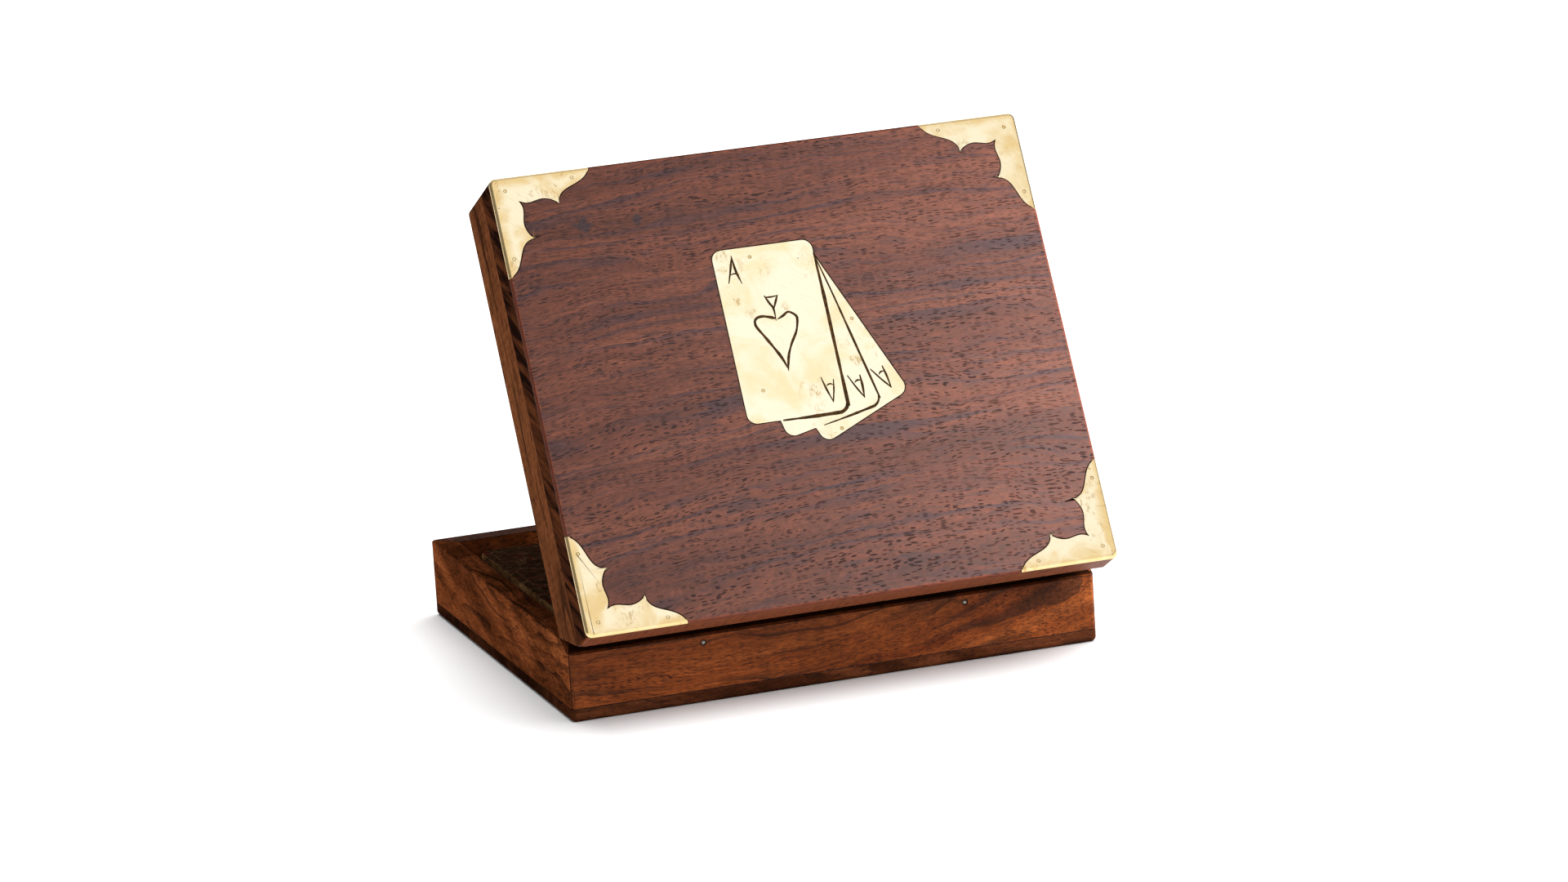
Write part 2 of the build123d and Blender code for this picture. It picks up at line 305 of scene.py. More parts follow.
def growth(look, board, grain, ring, seed, tones, streaks, ink):
    """Bands in a dark, a middle and a light tone, with an inky line at each growth ring and inky dashes."""
    bands = look.noise(grain, (0.006, 0.16, 0.02), 3, 0.62, 0, seed)
    colour = look.ramp(bands, [(0.28, tones[0]), (0.50, tones[1]), (0.72, tones[2])])
    uneven = look.noise(grain, (0.008, 0.12, 0.03), 2, 0.5, 0, seed + 2)
    uneven = look.ranged(uneven, 0.2, 0.8, 0, 2.2, False)
    rings_per_mm = 0.21
    age = look.math("FRACT", look.plus(look.times(ring, rings_per_mm), uneven))
    fading = look.ranged(look.noise(board, (0.020, 0.09, 0.1), 1, 0.5, 0, seed + 8), 0.34, 0.62)
    lines = look.times(look.ranged(age, 0.55, 0.93), look.ranged(age, 0.95, 1.0, 1, 0), fading)
    colour = look.mix(look.times(lines, 0.80 * streaks), colour, ink)
    dashes = look.ranged(look.noise(grain, (0.06, 1.0, 0.40), 3, 0.6, 0.3, seed + 3), 0.52, 0.68)
    return look.mix(look.times(dashes, 0.55 * streaks), colour, ink)


def board_edges(look, board, seed, colour, top, mottle, fibre):
    """The lid board's barred ends, a painted light of bright orange on its front and back edge faces, and a
    warm, lighter band round its face's rim. Returns the colour, and 1 on the ends.
    """
    x, y, z = look.split(board)
    x_past = look.minus(look.absolute(x), HALF_W / MM)
    y_past = look.minus(look.absolute(y), HALF_D / MM)
    slanted = look.mapped(board, rotation=(math.radians(-38), 0, 0))
    bars = look.noise(slanted, (0.5, 0.32, 0.04), 3, 0.6, 0.5, seed + 9)
    bars = look.ramp(bars, [(0.38, (0.010, 0.004, 0.003)), (0.50, (0.050, 0.016, 0.007)),
                            (0.66, (0.105, 0.032, 0.012))])
    bars = look.scaled(bars, look.spread(fibre, 0.75, 1.25))
    is_end = look.times(look.ranged(x_past, -1.0, -0.6), look.ranged(z, top - 0.5, top - 1.1))
    colour = look.mix(is_end, colour, bars)
    # Painted light: the board's front and back edge faces take a bright orange, as if lit from the front.
    plain = look.scaled((0.150, 0.036, 0.010), look.spread(fibre, 0.6, 1.3))
    painted_lit_edge = look.times(look.ranged(y_past, -0.9, -0.6), look.ranged(z, top - 0.5, top - 1.0))
    colour = look.mix(painted_lit_edge, colour, plain)
    # A warm, lighter band round the rim of the board's face.
    ragged = look.spread(mottle, -0.25, 0.25)
    past = look.plus(look.math("MAXIMUM", x_past, y_past), ragged)
    is_rim = look.times(look.ranged(past, -0.95, -0.55), look.ranged(z, top - 1.0, top - 0.7))
    return look.mix(look.times(is_rim, 0.55), colour, (0.15, 0.030, 0.010)), is_end


def board_marks(look, board, colour):
    """The lid board's two dark knots and its red spot, as (x, y, radius) in millimetres."""
    knots = look.blots(board, [(-57.2, 52.2, 3.0), (-40.8, 52.2, 1.7)], 3)
    colour = look.mix(look.times(knots, 0.92), colour, (0.022, 0.012, 0.014))
    spot = look.blots(board, [(-21.3, -21.9, 1.3)], 5)
    return look.mix(look.times(spot, 0.8), colour, (0.035, 0.006, 0.004))


def painted_bevel_shade(look, board, colour, lowest):
    """Painted shade on the relief bevel, dark as in the lid's shadow: above the lowest height, and outside
    the hinge line.
    """
    _, y, z = look.split(board)
    line = HINGE.y / MM
    painted_shade = look.times(look.ranged(z, lowest, lowest + 0.4), look.ranged(y, line + 0.1, line - 0.3))
    return look.mix(look.times(painted_shade, 0.92), colour, (0.004, 0.002, 0.001))


def pores(look, board, grain, seed):
    """Short and long pores along the grain, crowded in places: 1 in a pore."""
    crowd = look.ranged(look.noise(board, (0.03, 0.12, 0.12), 1, 0.5, 0, seed + 7), 0.36, 0.56, 0.55, 1.0)
    short = look.flecks(grain, (0.40, 3.3, 3.3), 0.44, 0.46, seed)
    long = look.flecks(grain, (0.17, 2.8, 2.8), 0.38, 0.34, seed + 3)
    return look.times(look.math("MAXIMUM", short, long), crowd)


def wood(name, to_board, seed, tones, pith=(0, -200, -60), arch=0.05, streaks=1.0, figure=None,
         specular=0.1, rough=0.42, top=None, wild=1.0, ink=(0.024, 0.010, 0.005), painted_shade=None):
    """Rosewood, solid through the board. Board coordinates run along the grain, across it, and through the
    thickness. tones are the dark, middle and light colour of the growth bands. arch is how much the rings
    bend round the pith along the grain, and wild is how far they stray. figure is the angle and strength of
    a curl. top is the height of the lid board's face, and painted_shade the lowest height of the painted
    shade on a bevel."""
    look = Look(name)
    board = look.place(to_board)
    sway = look.wander(board, (0.018, 0.05, 0.05), 2, seed, (0, 14 * wild, 9 * wild))
    ripple = look.wander(board, (0.11, 0.30, 0.30), 1, seed + 1, (0, 1.6 * wild, 1.6 * wild))
    swayed = look.vector("ADD", look.vector("ADD", board, sway), ripple)
    outward = look.vector("MULTIPLY", look.vector("SUBTRACT", swayed, pith), (arch, 1, 1))
    ring = look.vector("LENGTH", outward)
    along, _, through = look.split(swayed)
    grain = look.joined(along, ring, through)

    colour = growth(look, board, grain, ring, seed, tones, streaks, ink)
    if figure is not None:
        angle, amount = figure
        slanted = look.mapped(board, rotation=(0, math.radians(angle), 0))
        curl = look.noise(slanted, (0.11, 0.05, 0.020), 3, 0.6, 0.6, seed + 4)
        colour = look.scaled(colour, look.ranged(curl, 0.36, 0.62, 1 - amount, 1 + 0.30 * amount))
    mottle = look.noise(grain, (0.5, 1.3, 1.3), 2, 0.6, 0.8, seed + 5)
    fibre = look.noise(grain, (0.10, 1.9, 1.9), 4, 0.75, 0, seed + 6)
    colour = look.scaled(colour, look.times(look.spread(mottle, 0.76, 1.22),
                                            look.spread(fibre, 0.66, 1.34)))
    if top is not None:
        colour, is_end = board_edges(look, board, seed, colour, top, mottle, fibre)
        colour = board_marks(look, board, colour)
        specular = look.times(look.minus(1.0, is_end), specular)
    # Painted shade on the base's relief bevel.
    if painted_shade is not None:
        colour = painted_bevel_shade(look, board, colour, painted_shade)
    pore = pores(look, board, grain, seed)
    colour = look.mix(look.times(pore, 0.85), colour, (0.010, 0.005, 0.005))
    worn = look.spread(fibre, rough - 0.05, rough + 0.06)
    roughness = look.plus(worn, look.times(pore, 0.25))
    height = look.minus(look.times(fibre, 0.22), pore)
    return look.surface(colour, roughness, look.bump(height, 0.06 * MM, 0.6), specular=specular)


def arris_painted_shade():
    """Painted shade: a dark colour on the rounded arrises of the boards, so the grooves where two boards meet
    read as shaded.
    """
    look = Look("arris_painted_shade")
    spots = look.noise(look.place(STILL), (0.8, 0.8, 0.8), 3)
    colour = look.ramp(spots, [(0.3, (0.010, 0.005, 0.004)), (0.7, (0.045, 0.018, 0.011))])
    roughness = look.spread(spots, 0.5, 0.75, smooth=True)
    return look.surface(colour, roughness, look.bump(spots, 0.04 * MM, 0.5), specular=0.0)


def brass(name, to_flat, seed, tones, rough, stained=1.0, edge=0.0, places=()):
    """Polished sheet brass with yellow tarnish clouds, brown stains, specks and fine scratches. tones are the
    plain, the tarnished and the stained colour, edge deepens the tarnish along the lid's outer edges, and
    places are (x, y, radius) of stains."""
    plain, tarnish, stain = tones
    look = Look(name)
    flat = look.place(to_flat)
    clouds = look.noise(flat, (0.075, 0.075, 0.075), 4, 0.55, 0.6, seed)
    cover = look.ranged(clouds, 0.40, 0.68, 0, 0.9)
    if edge:
        inward = look.inset(flat, HALF_W / MM, HALF_D / MM)
        ragged = look.plus(inward, look.spread(clouds, -2.0, 2.0))
        cover = look.math("MAXIMUM", cover, look.ranged(ragged, 0.3, 3.2, edge, 0))
    colour = look.mix(cover, plain, tarnish)
    where = look.ranged(look.noise(flat, (0.075, 0.075, 0.075), 1, 0.5, 0, seed + 5), 0.52, 0.66)
    blots = look.ranged(look.noise(flat, (0.42, 0.30, 0.3), 4, 0.62, 1.6, seed + 2), 0.54, 0.66)
    blots = look.times(blots, where, 0.6 * stained)
    if places:
        streaks = look.noise(flat, (0.9, 0.5, 0.5), 3, 0.7, 1.0, seed + 8)
        placed = look.times(look.blots(flat, places, seed), look.ranged(streaks, 0.46, 0.62, 0.08, 0.70))
        blots = look.math("MAXIMUM", blots, placed)
    colour = look.mix(blots, colour, stain)
    _, distance = look.cells(flat, (0.13, 0.13, 0.13), seed)
    colour = look.mix(look.ranged(distance, 0.022, 0.034, 0.8, 0), colour, (0.10, 0.055, 0.02))
    slanted = look.mapped(flat, rotation=(0, 0, math.radians(38)))
    scratches = look.ranged(look.noise(slanted, (0.10, 7.0, 1.0), 2, 0.6, 0, seed + 3), 0.64, 0.72)
    colour = look.mix(look.times(scratches, 0.35), colour, stain)
    brushing = look.noise(flat, (0.35, 6.0, 1.0), 3, 0.7, 0, seed + 4)
    brushed = look.spread(brushing, rough - 0.06, rough + 0.08)
    waves = look.noise(flat, (0.11, 0.11, 0.11), 2, 0.5, 0, seed + 6)
    height = look.plus(look.times(waves, 3.0), look.times(brushing, 0.05))
    height = look.minus(height, look.times(scratches, 0.30))
    roughness = look.plus(brushed, look.times(blots, 0.3))
    return look.surface(colour, roughness, look.bump(height, 0.03 * MM, 0.5), metallic=1.0)


def groove_patina():
    look = Look("groove_patina")
    spots = look.noise(look.place(STILL), (1.1, 1.1, 1.1), 3)
    colour = look.ramp(spots, [(0.35, (0.028, 0.013, 0.004)), (0.65, (0.12, 0.055, 0.014))])
    roughness = look.spread(spots, 0.45, 0.7, smooth=True)
    return look.surface(colour, roughness, look.bump(spots, 0.04 * MM, 0.6), specular=0.1)


def felt_look():
    look = Look("brown_felt")
    place = look.place(STILL)
    fibres = look.noise(place, (1.8, 1.8, 1.8), 4, 0.8, 2.2)
    nap = look.noise(place, (0.06, 0.06, 0.06), 3, 0.6, 0.5, 3)
    colour = look.ramp(fibres, [(0.3, (0.030, 0.015, 0.009)), (0.7, (0.105, 0.056, 0.034))])
    colour = look.scaled(colour, look.spread(nap, 0.75, 1.25, smooth=True))
    roughness = look.spread(nap, 0.88, 0.98, smooth=True)
    return look.surface(colour, roughness, look.bump(fibres, 0.2 * MM, 0.8), specular=0.0, sheen=0.05)


def card_edge_look():
    """The sides of the cards: tan, darker in places, with the board's layers along them."""
    look = Look("card_edges")
    place = look.place(STILL)
    layers = look.noise(place, (0.12, 0.12, 9.0), 2, 0.6)
    grime = look.noise(place, (0.10, 0.10, 0.25), 4, 0.65, 0.8, 2)
    tones = [(0.36, (0.07, 0.028, 0.009)), (0.54, (0.36, 0.18, 0.055)), (0.70, (0.62, 0.38, 0.15))]
    colour = look.scaled(look.ramp(grime, tones), look.spread(layers, 0.55, 1.2))
    roughness = look.spread(grime, 0.6, 0.8, smooth=True)
    return look.surface(colour, roughness, look.bump(layers, 0.05 * MM, 0.7), specular=0.3)


def card_back_look(centre, half):
    """A worn printed back: mottled brown with dull red patches inside a thin pale line."""
    look = Look("card_back")
    card = look.place(Matrix.Translation(-centre))
    inset = look.inset(card, half.x / MM, half.y / MM)
    mottle = look.noise(card, (0.28, 0.28, 0.28), 5, 0.65, 1.2)
    colour = look.ramp(mottle, [(0.32, (0.012, 0.006, 0.0035)), (0.50, (0.040, 0.019, 0.010)),
                                (0.70, (0.120, 0.062, 0.032))])
    red = look.ranged(look.noise(card, (0.16, 0.16, 0.16), 3, 0.6, 0.9, 4), 0.52, 0.64)
    colour = look.mix(look.times(red, 0.7), colour, (0.085, 0.012, 0.009))
    wear = look.ranged(look.noise(card, (0.5, 0.5, 0.5), 3, 0.6, 0, 8), 0.42, 0.58, 0.0, 0.8)
    line = look.times(look.ranged(inset, 2.9, 3.05), look.ranged(inset, 3.35, 3.5, 1, 0))
    colour = look.mix(look.times(line, wear, 0.45), colour, (0.22, 0.14, 0.07))
    rim = look.ranged(inset, 0.2, 1.0, 0.8, 0)
    colour = look.mix(look.times(rim, wear), colour, (0.36, 0.19, 0.06))
    crease = look.noise(card, (0.06, 2.2, 1), 2, 0.6, 0.4, 6)
    roughness = look.spread(mottle, 0.55, 0.7, smooth=True)
    return look.surface(colour, roughness, look.bump(crease, 0.03 * MM, 0.5), specular=0.0)


def steel(name, dark, light):
    look = Look(name)
    spots = look.noise(look.place(STILL), (1.4, 1.4, 1.4), 4, 0.65, 0.6)
    colour = look.ramp(spots, [(0.35, dark), (0.62, light)])
    roughness = look.spread(spots, 0.3, 0.6, smooth=True)
    return look.surface(colour, roughness, look.bump(spots, 0.04 * MM, 0.5), metallic=0.9)


# ---------------------------------------------------------------- mesh building

def new_object(name, bm, *materials):
    mesh = bpy.data.meshes.new(name)
    bm.to_mesh(mesh)
    bm.free()
    for material in materials:
        mesh.materials.append(material)
    made = bpy.data.objects.new(name, mesh)
    bpy.context.scene.collection.objects.link(made)
    return made


def settle(piece, body, node):
    """The piece rides on a body and stands for a CAD node."""
    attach(piece, body)
    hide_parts(node)


def extent(points):
    """The lowest and the highest corner of some points."""
    return [Vector([pick(p[axis] for p in points) for axis in range(3)]) for pick in (min, max)]


def welded(node, matrix):
    """A CAD node's mesh with each vertex once, moved by a matrix."""
    bm = bmesh.new()
    bm.from_mesh(frame["nodes"][node].data)
    bm.transform(matrix)
    bmesh.ops.remove_doubles(bm, verts=bm.verts, dist=SAME_PLACE)
    return bm


def cad_copy(node, matrix):
    """A welded copy of a CAD node's mesh with its flat faces whole."""
    bm = welded(node, matrix)
    bmesh.ops.dissolve_limit(bm, angle_limit=SAME_FACE, verts=bm.verts, edges=bm.edges, delimit=set())
    bm.normal_update()
    return bm


def island_boxes(node, matrix=STILL):
    """The extent of each separate solid of a CAD node, from left to right."""
    bm = welded(node, matrix)
    left, boxes = set(bm.verts), []
    while left:
        reached, front = set(), [next(iter(left))]
        while front:
            v = front.pop()
            if v in reached:
                continue
            reached.add(v)
            front += [e.other_vert(v) for e in v.link_edges]
        left -= reached
        boxes.append(extent([v.co for v in reached]))
    bm.free()
    return sorted(boxes, key=lambda b: tuple(round(x, 5) for x in b[0]))


def crisp(obj, width, segments=2, angle=50.0, bevel_material=-1):
    """Welds a CAD mesh in its modifiers and rounds its sharp edges by a hair."""
    weld = obj.modifiers.new("weld", "WELD")
    weld.merge_threshold = SAME_PLACE
    whole = obj.modifiers.new("whole_faces", "DECIMATE")
    whole.decimate_type, whole.angle_limit = "DISSOLVE", SAME_FACE
    round_edges(obj, width, segments, angle, bevel_material)


def round_edges(obj, width, segments=2, angle=50.0, bevel_material=-1):
    bevel = obj.modifiers.new("rounding", "BEVEL")
    bevel.width, bevel.segments, bevel.limit_method = width, segments, "ANGLE"
    bevel.angle_limit, bevel.use_clamp_overlap = math.radians(angle), False
    bevel.material = bevel_material
    for polygon in obj.data.polygons:
        polygon.use_smooth = True
    shading = obj.modifiers.new("shading", "WEIGHTED_NORMAL")
    shading.keep_sharp, shading.weight = False, 60


def dress(node, *materials):
    """Gives a CAD node its materials."""
    obj = frame["nodes"][node]
    obj.data.materials.clear()
    for material in materials:
        obj.data.materials.append(material)
    return obj


def lathe(bm, matrix, profile, segments):
    """A closed solid of revolution about local Z from (radius, height) points, first and last on the axis."""
    turns = [2 * math.pi * i / segments for i in range(segments)]
    rings = []
    for radius, height in profile:
        around = [Vector((radius * math.cos(a), radius * math.sin(a), height)) for a in turns]
        if radius == 0:
            around = [Vector((0, 0, height))]
        rings.append([bm.verts.new(matrix @ p) for p in around])
    for low, high in zip(rings, rings[1:]):
        for i in range(segments):
            j = (i + 1) % segments
            corners = [low[i % len(low)], low[j % len(low)], high[j % len(high)], high[i % len(high)]]
            bm.faces.new([v for k, v in enumerate(corners) if v not in corners[:k]])
    bmesh.ops.recalc_face_normals(bm, faces=bm.faces)


def cut(obj, cutter):
    """Takes the cutter out of obj for good. The cut faces keep the cutter's material."""
    boolean = obj.modifiers.new("cut", "BOOLEAN")
    boolean.object, boolean.operation, boolean.solver = cutter, "DIFFERENCE", "EXACT"
    boolean.use_self, boolean.material_mode = True, "TRANSFER"
    mesh = bpy.data.meshes.new_from_object(obj.evaluated_get(bpy.context.evaluated_depsgraph_get()))
    obj.modifiers.remove(boolean)
    obj.data = mesh
    bpy.data.objects.remove(cutter)


def smooth_through(points, per_span=6):
    """A Catmull-Rom line through points."""
    ends = [points[0] * 2 - points[1]] + points + [points[-1] * 2 - points[-2]]
    line = []
    for a, b, c, d in zip(ends, ends[1:], ends[2:], ends[3:]):
        for i in range(per_span):
            t = i / per_span
            square, cube = 2 * a - 5 * b + 4 * c - d, 3 * b - a - 3 * c + d
            line.append(0.5 * (2 * b + (c - a) * t + square * t * t + cube * t ** 3))
    return line + [points[-1]]


# ---------------------------------------------------------------- wood

LID_RED = ((0.050, 0.0150, 0.0086), (0.072, 0.0210, 0.0116), (0.100, 0.0310, 0.0165))
# A brighter copy of the rail wood for the lid's left side: painted fill light on a face the lamps leave in
# shade.
LID_SIDE_PAINTED_FILL = ((0.110, 0.036, 0.014), (0.170, 0.056, 0.021), (0.230, 0.080, 0.030))
RAIL_BROWN = ((0.050, 0.016, 0.007), (0.088, 0.028, 0.0105), (0.135, 0.045, 0.016))
BASE_ORANGE = ((0.086, 0.0185, 0.0048), (0.140, 0.0330, 0.0074), (0.196, 0.0520, 0.0125))
# A brighter copy of the base wood for the base's left side: painted fill light on a face the lamps leave in
# shade.
LEFT_RAIL_PAINTED_FILL = ((0.140, 0.036, 0.011), (0.245, 0.068, 0.021), (0.330, 0.100, 0.032))
FOOT_BROWN = ((0.030, 0.009, 0.004), (0.062, 0.018, 0.007), (0.100, 0.030, 0.011))
PLAIN = ((0.055, 0.019, 0.009), (0.085, 0.029, 0.013), (0.120, 0.042, 0.018))
PAINTED_SHADE_FROM = 20.7  # millimetres: painted shade darkens the base's relief bevel from this height up
ARRIS, FINE_ARRIS = 0.16 * MM, 0.10 * MM  # by which edges are rounded


def dress_wood():
    """Gives each board its cut of rosewood: the way to board coordinates, the tones and what is special."""
    boards = {
        "lid_top_board": (SHUT, LID_RED, dict(pith=(25, -112, -30), arch=0.34, specular=0.15, rough=0.48,
                                              top=LID_TOP, wild=0.7, ink=(0.028, 0.0135, 0.0155))),
        "lid_hinge_rail": (SHUT, BASE_ORANGE, {}),
        "lid_front_rail": (SHUT, RAIL_BROWN, dict(specular=0.15)),
        "lid_left_rail": (ALONG_Y @ SHUT, LID_SIDE_PAINTED_FILL, dict(specular=0.0, rough=0.7, wild=0.4)),
        "lid_right_rail": (ALONG_Y @ SHUT, RAIL_BROWN, dict(wild=0.5)),
        "base_bottom_board": (STILL, FOOT_BROWN, dict(figure=(70, 0.5), specular=0.0, rough=0.7)),
        # The hinge rail's relief bevel gets painted shade.
        "base_hinge_rail": (STILL, BASE_ORANGE, dict(pith=(-40, -100, 62), arch=0.42, figure=(58, 0.25),
                                                     specular=0.05, streaks=0.9, painted_shade=PAINTED_SHADE_FROM)),
        "base_front_rail": (STILL, BASE_ORANGE, dict(figure=(40, 0.4), specular=0.08)),
        "base_left_rail": (ALONG_Y, LEFT_RAIL_PAINTED_FILL, dict(figure=(-66, 0.5), specular=0.0, rough=0.7)),
        "base_right_rail": (ALONG_Y, BASE_ORANGE, dict(figure=(35, 0.4), specular=0.08)),
        "dice_divider": (STILL, PLAIN, {}),
        "well_divider": (ALONG_Y, PLAIN, {}),
    }
    arris_shade = arris_painted_shade()
    for seed, (node, (to_board, tones, special)) in enumerate(boards.items(), 1):
        material = wood(node + "_rosewood", to_board, float(seed), tones, **special)
        # The usual rounding would throw spikes at the board's pointed pockets and the rail's knife edge.
        width = FINE_ARRIS if node == "lid_top_board" else ARRIS
        angle = 70 if node == "lid_hinge_rail" else 50
        # The rounded arrises take the dark arris colour: painted shade.
        crisp(dress(node, material, arris_shade), width, angle=angle, bevel_material=1)
        if node.startswith(("lid_", "base_")):
            LIT_WOOD.objects.link(frame["nodes"][node])


# ---------------------------------------------------------------- brass

# The plain, the tarnished and the stained colour of each.
CORNER_TONES = ((0.86, 0.76, 0.54), (0.72, 0.52, 0.23), (0.42, 0.23, 0.06))
PLATE_TONES = ((0.90, 0.83, 0.63), (0.84, 0.71, 0.42), (0.58, 0.39, 0.14))
PIN_TONES = ((0.76, 0.62, 0.36), (0.64, 0.43, 0.17), (0.30, 0.16, 0.05))
HINGE_TONES = ((0.50, 0.36, 0.16), (0.34, 0.21, 0.08), (0.12, 0.07, 0.03))
# Stains on the plate: (x, y, radius) in millimetres from the lid's middle.
PLATE_STAINS = [(-17.6, 37.6, 2.4), (-18.6, 33.6, 1.7), (-12.6, 18.9, 1.8), (-1.7, 19.7, 1.5),
                (1.8, -6.6, 2.6), (-16.2, 23.2, 1.3), (3.6, -21.4, 1.8), (15.8, 0.6, 2.2)]
INLAY_GAP = 0.20 * MM  # by which a plate's sides stand in from its CAD shape
RIM = 1.6 * MM  # the corner inlays' outer sides lie within this of the lid's edges
PIN_REACH = 0.75 * MM
UPRIGHT = 0.2  # an upright face's normal rises less than this
SAME_WAY = 0.02  # level normals closer than this are one
LEAST_PULL = 0.2


def pulled_in(bm, amount, is_kept):
    """Moves the upright faces of a flat plate inwards, apart from the kept ones."""
    moves = {}
    for v in bm.verts:
        normals = []
        for face in v.link_faces:
            level = Vector((face.normal.x, face.normal.y, 0))
            if abs(face.normal.z) > UPRIGHT or is_kept(face.calc_center_median()):
                continue
            level.normalize()
            if all((level - known).length > SAME_WAY for known in normals):
                normals.append(level)
        total = sum(normals, Vector((0, 0, 0)))
        if normals and total.length > LEAST_PULL:
            moves[v] = -total * min(amount * len(normals) / total.length_squared, 3 * amount / total.length)
    for v, move in moves.items():
        v.co += move


def near_pin(pins):
    return lambda place: any((place.xy - pin).length < PIN_REACH for pin in pins)


def make_corner_inlays(look, pins):
    at_pin = near_pin(pins)

    def is_kept(place):
        return abs(place.x) > HALF_W - RIM or abs(place.y) > HALF_D - RIM or at_pin(place)

    for node in sorted(n for n in frame["nodes"] if n.startswith("corner_inlay")):
        bm = cad_copy(node, SHUT)
        pulled_in(bm, INLAY_GAP, is_kept)
        bm.transform(AJAR)
        piece = new_object(node + "_brass", bm, look)
        round_edges(piece, 0.14 * MM, angle=32)
        settle(piece, "lid", node)
        SHINY_BRASS.objects.link(piece)


# The engraving, in millimetres from the lid's middle. Each stroke is the points of a line and its width.
CARD_RIGHT, CARD_FOOT, CARD_ROUND = 10.7, -14.5, 3.2
FAN_PIVOT = Vector((11.0, 34.4))
FAN_TURNS = (0.0, 12.3, 23.6)
CUT_DEPTH = 0.30
TOP_LETTER = [
    ([(-17.3, 28.9), (-15.9, 33.0), (-14.7, 37.1)], 0.48),
    ([(-14.8, 37.3), (-14.4, 32.6), (-13.3, 28.3)], 0.50),
    ([(-16.3, 31.4), (-15.0, 31.7), (-13.5, 31.1)], 0.36),
]
SPADE = [
    ([(-7.5, 23.9), (-6.4, 21.4), (-5.5, 19.5), (-5.5, 15.8)], 0.50),
    ([(-3.4, 23.6), (-4.2, 22.0), (-5.5, 19.3)], 0.46),
    ([(-7.3, 23.3), (-5.5, 23.2), (-3.3, 23.4)], 0.42),
    ([(-5.4, 16.5), (-6.8, 17.0), (-8.9, 17.6), (-10.5, 17.6), (-11.7, 17.0), (-12.1, 15.9),
      (-11.8, 14.5), (-10.2, 11.7), (-8.3, 8.3), (-6.4, 4.6), (-5.1, 0.9)], 0.62),
    ([(-5.0, 16.2), (-3.2, 17.0), (-1.4, 18.0), (0.2, 17.2), (1.0, 16.0), (0.6, 13.8),
      (-0.3, 11.5), (-2.2, 8.6), (-3.8, 5.5), (-4.6, 3.0), (-5.2, 0.2)], 0.54),
]
LOW_LETTER = [
    ([(4.1, -3.0), (5.1, -7.1), (6.3, -11.0)], 0.46),
    ([(7.8, -4.1), (7.2, -7.4), (6.2, -11.1)], 0.50),
    ([(5.3, -5.8), (6.4, -5.4), (7.4, -5.8)], 0.38),
]


def fanned(points, degrees):
    """Points of the first card, turned to another card of the fan."""
    spin = Matrix.Rotation(math.radians(degrees), 2)
    return [FAN_PIVOT + spin @ (Vector(p) - FAN_PIVOT) for p in points]


def card_border(high_y, low_x):
    """A card's right and lower edge with the rounded corner between them, from the top down and then left."""
    x, y, r = CARD_RIGHT - 0.1, CARD_FOOT + 0.1, CARD_ROUND
    arc = [math.radians(a) for a in (-15, -30, -45, -60, -75)]
    bend = [(x - r + r * math.cos(a), y + r + r * math.sin(a)) for a in arc]
    side = [(x - 0.1, high_y), (x + 0.1, 22.0), (x + 0.05, 8.0), (x, y + r)]
    return [*side, *bend, (x - r, y), (-1.0, y - 0.1), (low_x, y)]


def groove(bm, points, width, depth, top, rng):
    """A hand-cut groove: a tube along the line that swells at random and narrows over the five steps at each
    end. Measures are in millimetres, and width and depth are a little over half the tube's."""
    line = smooth_through([Vector(p) for p in points])
    sides, last, rings = 8, len(line) - 1, []
    turns = [2 * math.pi * (k + 0.5) / sides for k in range(sides)]
    for i, p in enumerate(line):
        ahead = (line[min(i + 1, last)] - line[max(i - 1, 0)]).normalized()
        beside = Vector((-ahead.y, ahead.x))
        shake = noise.noise(Vector((p.x * 0.35, p.y * 0.35, rng.random() * 0.2 + width * 9)))
        taper = min(1.0, 0.45 + 0.11 * min(i, last - i))
        full = (0.9 + 0.35 * shake) * taper
        ring = []
        for a in turns:
            level = p + beside * (0.85 * width * full * math.cos(a))
            ring.append(bm.verts.new(Vector((level.x, level.y, top + depth * full * math.sin(a))) * MM))
        rings.append(ring)
    for a, b in zip(rings, rings[1:]):
        for k in range(sides):
            bm.faces.new((a[k], a[(k + 1) % sides], b[(k + 1) % sides], b[k]))
    bm.faces.new(rings[0][::-1])
    bm.faces.new(rings[-1])


def engraving(top):
    """The letters, the spade and the borders of the fanned cards, at the plate's face."""
    rng = random.Random(11)
    strokes = bmesh.new()
    for points, width in TOP_LETTER + SPADE:
        groove(strokes, points, width, CUT_DEPTH, top, rng)
    for degrees in FAN_TURNS:
        for points, width in LOW_LETTER:
            groove(strokes, fanned(points, degrees), width, CUT_DEPTH, top, rng)
    groove(strokes, card_border(35.0, -10.2), 0.72, CUT_DEPTH, top, rng)
    groove(strokes, fanned(card_border(33.6, -9.0), FAN_TURNS[1]), 0.50, 0.26, top, rng)
    bmesh.ops.recalc_face_normals(strokes, faces=strokes.faces)
    return strokes


def make_aces(look, dark, pins):
    bm = cad_copy("aces_plate", SHUT)
    top = max(v.co.z for v in bm.verts) / MM
    pulled_in(bm, INLAY_GAP, near_pin(pins))
    bm.normal_update()
    sharp = [e for e in bm.edges if len(e.link_faces) == 2 and e.calc_face_angle() > math.radians(50)]
    bmesh.ops.bevel(bm, geom=sharp, offset=0.12 * MM, segments=2, profile=0.5, affect="EDGES",
                    clamp_overlap=False)
    piece = new_object("aces_plate_engraved", bm, look)
    cut(piece, new_object("strokes", engraving(top), dark))
    piece.data.transform(AJAR)
    settle(piece, "lid", "aces_plate")
    SHINY_BRASS.objects.link(piece)


